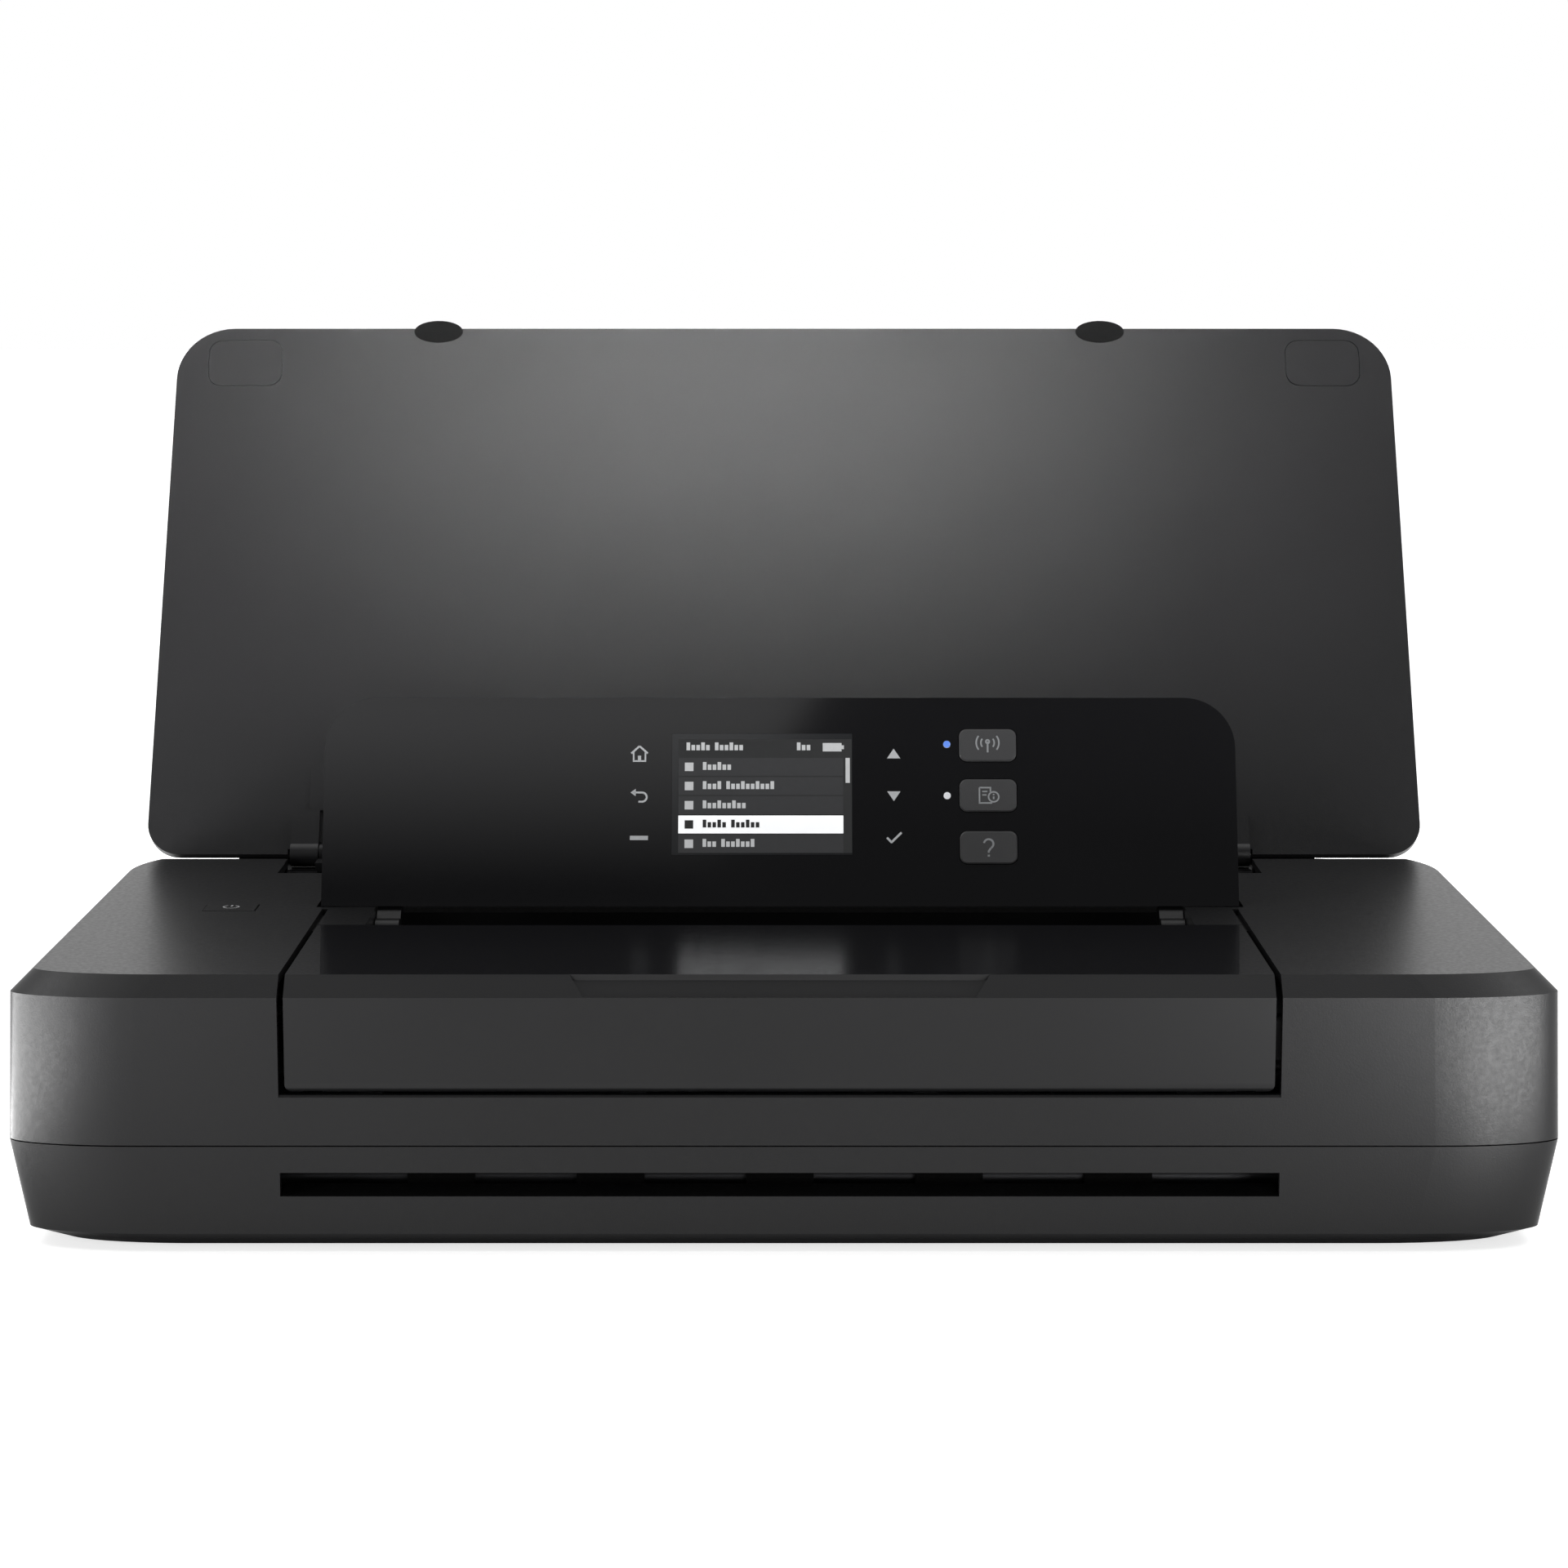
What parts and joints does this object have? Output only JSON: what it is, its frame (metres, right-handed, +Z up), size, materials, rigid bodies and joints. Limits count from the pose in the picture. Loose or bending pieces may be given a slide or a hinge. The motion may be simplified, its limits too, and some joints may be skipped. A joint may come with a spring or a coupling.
{
  "type": "inkjet printer",
  "caption": "Compact portable inkjet printer with a lid that opens into a paper tray, a tilting control panel and a drop-down ink door.",
  "frame": {"origin": "on the floor under the middle of the open printer's box", "axes": "+X to the right seen from the front, +Y to the back, +Z up"},
  "size_m": [0.3608, 0.2535, 0.2074],
  "materials": {
    "case": "fine satin grain",
    "lid": "fine satin grain",
    "gloss_black": "polished",
    "display": "lit screen behind a clear window",
    "key_grey": "satin",
    "light_lens": "clear lens",
    "rubber_black": "matt",
    "steel": "ground",
    "sheet_steel": "zinc plated",
    "inner_black": "matt",
    "gear_white": "moulded",
    "motor_can": "plated can",
    "board_green": "lacquered board",
    "port_metal": "plated",
    "cartridge": "satin",
    "felt": "felt",
    "strip": "film"
  },
  "bodies": {
    "case": {"base_shell": "case", "top_shell": "case", "rubber_feet": "rubber_black", "side_plate_left": "sheet_steel", "side_plate_right": "sheet_steel", "frame_screws": "steel", "hinge_pins": "steel", "feed_motor": "motor_can", "pinch_bar": "inner_black", "star_wheel_bar": "inner_black", "separation_pad": "felt", "paper_chute": "inner_black", "platen": "inner_black", "carriage_rod": "steel", "encoder_strip": "strip", "drive_belt": "rubber_black", "carriage_motor": "motor_can", "service_station": "inner_black", "capping_pads": "rubber_black", "waste_ink_pad": "felt", "main_board": "board_green", "usb_port": "port_metal", "power_inlet": "inner_black", "battery_pack": "cartridge"},
    "lid": {"lid_tray": "lid", "lid_bumpers": "rubber_black", "lid_corner_pads": "lid"},
    "extender": {"tray_extender": "lid"},
    "guide_left": {"paper_guide_left": "lid"},
    "guide_right": {"paper_guide_right": "lid"},
    "pinion": {"guide_pinion": "gear_white"},
    "panel": {"panel_housing": "case", "panel_fascia": "gloss_black", "display_screen": "display", "status_lights": "light_lens"},
    "help_button": {"help_key": "key_grey"},
    "info_button": {"info_key": "key_grey"},
    "wireless_button": {"wireless_key": "key_grey"},
    "power_switch": {"power_button": "case"},
    "door": {"ink_door": "case"},
    "print_carriage": {"carriage": "inner_black", "black_cartridge": "cartridge", "colour_cartridge": "cartridge"},
    "left_latch": {"latch_left": "key_grey"},
    "right_latch": {"latch_right": "key_grey"},
    "feed_drive": {"feed_shaft": "steel", "feed_rollers": "rubber_black", "feed_gear": "gear_white"},
    "output_drive": {"output_shaft": "steel", "output_rollers": "rubber_black", "output_gear": "gear_white"},
    "idler": {"idler_gear": "gear_white"},
    "drive_pinion": {"motor_pinion": "gear_white"},
    "pinch_axle": {"pinch_rollers": "inner_black"},
    "star_axle": {"star_wheels": "sheet_steel"},
    "pick_axle": {"pick_roller": "rubber_black"},
    "belt_pulley": {"motor_pulley": "gear_white"},
    "belt_idler": {"idler_pulley": "gear_white"},
    "cover": {"battery_cover": "case"}
  },
  "joints": [
    {"name": "lid_hinge", "type": "hinge", "parent": "case", "child": "lid", "pos_m": [0, 0.04264, 0.0647], "axis": [-1, 0, 0], "range_deg": [-119.6, 0]},
    {"name": "extender_slide", "type": "slide", "parent": "lid", "child": "extender", "axis": [0, 0.4939, 0.8695], "range_m": [0, 0.05]},
    {"name": "guide_left_slide", "type": "slide", "parent": "lid", "child": "guide_left", "axis": [1, 0, 0], "range_m": [0, 0.07]},
    {"name": "guide_right_slide", "type": "slide", "parent": "lid", "child": "guide_right", "axis": [1, 0, 0], "range_m": [-0.07, 0]},
    {"name": "guide_pinion_spin", "type": "hinge", "parent": "lid", "child": "pinion", "pos_m": [-0.0038, 0.05227, 0.08166], "axis": [0, -0.8695, 0.4939], "range_deg": [-1337.9, 0]},
    {"name": "panel_tilt", "type": "hinge", "parent": "case", "child": "panel", "pos_m": [0, -0.03835, 0.0585], "axis": [-1, 0, 0], "range_deg": [0, 69.6]},
    {"name": "help_key_press", "type": "slide", "parent": "panel", "child": "help_button", "axis": [0, 0.9373, -0.3486], "range_m": [0, 0.0006], "stiffness_N_per_m": 400},
    {"name": "info_key_press", "type": "slide", "parent": "panel", "child": "info_button", "axis": [0, 0.9373, -0.3486], "range_m": [0, 0.0006], "stiffness_N_per_m": 400},
    {"name": "wireless_key_press", "type": "slide", "parent": "panel", "child": "wireless_button", "axis": [0, 0.9373, -0.3486], "range_m": [0, 0.0006], "stiffness_N_per_m": 400},
    {"name": "power_button_press", "type": "slide", "parent": "case", "child": "power_switch", "axis": [0, 0, -1], "range_m": [0, 0.0008], "stiffness_N_per_m": 400},
    {"name": "ink_door_hinge", "type": "hinge", "parent": "case", "child": "door", "pos_m": [0, -0.12346, 0.0398], "axis": [1, 0, 0], "range_deg": [0, 95]},
    {"name": "carriage_slide", "type": "slide", "parent": "case", "child": "print_carriage", "axis": [1, 0, 0], "range_m": [-0.2622, 0]},
    {"name": "latch_left_hinge", "type": "hinge", "parent": "print_carriage", "child": "left_latch", "pos_m": [0, -0.11386, 0.04125], "axis": [1, 0, 0], "range_deg": [0, 20], "stiffness_Nm_per_rad": 0.02},
    {"name": "latch_right_hinge", "type": "hinge", "parent": "print_carriage", "child": "right_latch", "pos_m": [0, -0.11386, 0.04125], "axis": [1, 0, 0], "range_deg": [0, 20], "stiffness_Nm_per_rad": 0.02},
    {"name": "feed_spin", "type": "hinge", "parent": "case", "child": "feed_drive", "pos_m": [0, -0.06406, 0.0157], "axis": [1, 0, 0], "continuous": true},
    {"name": "output_spin", "type": "hinge", "parent": "case", "child": "output_drive", "pos_m": [0, -0.10206, 0.0117], "axis": [1, 0, 0], "continuous": true},
    {"name": "idler_spin", "type": "hinge", "parent": "case", "child": "idler", "pos_m": [0, -0.08535, 0.01939], "axis": [1, 0, 0], "continuous": true},
    {"name": "motor_pinion_spin", "type": "hinge", "parent": "case", "child": "drive_pinion", "pos_m": [0, -0.04901, 0.01782], "axis": [1, 0, 0], "continuous": true},
    {"name": "pinch_spin", "type": "hinge", "parent": "case", "child": "pinch_axle", "pos_m": [0, -0.06406, 0.0263], "axis": [1, 0, 0], "continuous": true},
    {"name": "star_wheel_spin", "type": "hinge", "parent": "case", "child": "star_axle", "pos_m": [0, -0.10206, 0.0208], "axis": [1, 0, 0], "continuous": true},
    {"name": "pick_spin", "type": "hinge", "parent": "case", "child": "pick_axle", "pos_m": [0, -0.00806, 0.033], "axis": [1, 0, 0], "continuous": true},
    {"name": "motor_pulley_spin", "type": "hinge", "parent": "case", "child": "belt_pulley", "pos_m": [0.1461, -0.04206, 0], "axis": [0, 0, 1], "range_deg": [-2504.83, 0]},
    {"name": "idler_pulley_spin", "type": "hinge", "parent": "case", "child": "belt_idler", "pos_m": [-0.1461, -0.04206, 0], "axis": [0, 0, 1], "range_deg": [-2504.83, 0]},
    {"name": "battery_cover_slide", "type": "slide", "parent": "case", "child": "cover", "axis": [0, 1, 0], "range_m": [0, 0.03]}
  ],
  "couplings": [
    {"joint": "panel_tilt", "follows": "lid_hinge", "ratio": -0.58194},
    {"joint": "guide_right_slide", "follows": "guide_left_slide", "ratio": -1},
    {"joint": "guide_pinion_spin", "follows": "guide_left_slide", "rad_per_m": -333.33},
    {"joint": "output_spin", "follows": "feed_spin", "ratio": 1.4444},
    {"joint": "idler_spin", "follows": "feed_spin", "ratio": -0.92857},
    {"joint": "motor_pinion_spin", "follows": "feed_spin", "ratio": -2.1667},
    {"joint": "pinch_spin", "follows": "feed_spin", "ratio": -1.5},
    {"joint": "star_wheel_spin", "follows": "feed_spin", "ratio": -2.0635},
    {"joint": "pick_spin", "follows": "feed_spin", "ratio": 0.66667},
    {"joint": "motor_pulley_spin", "follows": "carriage_slide", "rad_per_m": 166.67},
    {"joint": "idler_pulley_spin", "follows": "carriage_slide", "rad_per_m": 166.67}
  ]
}
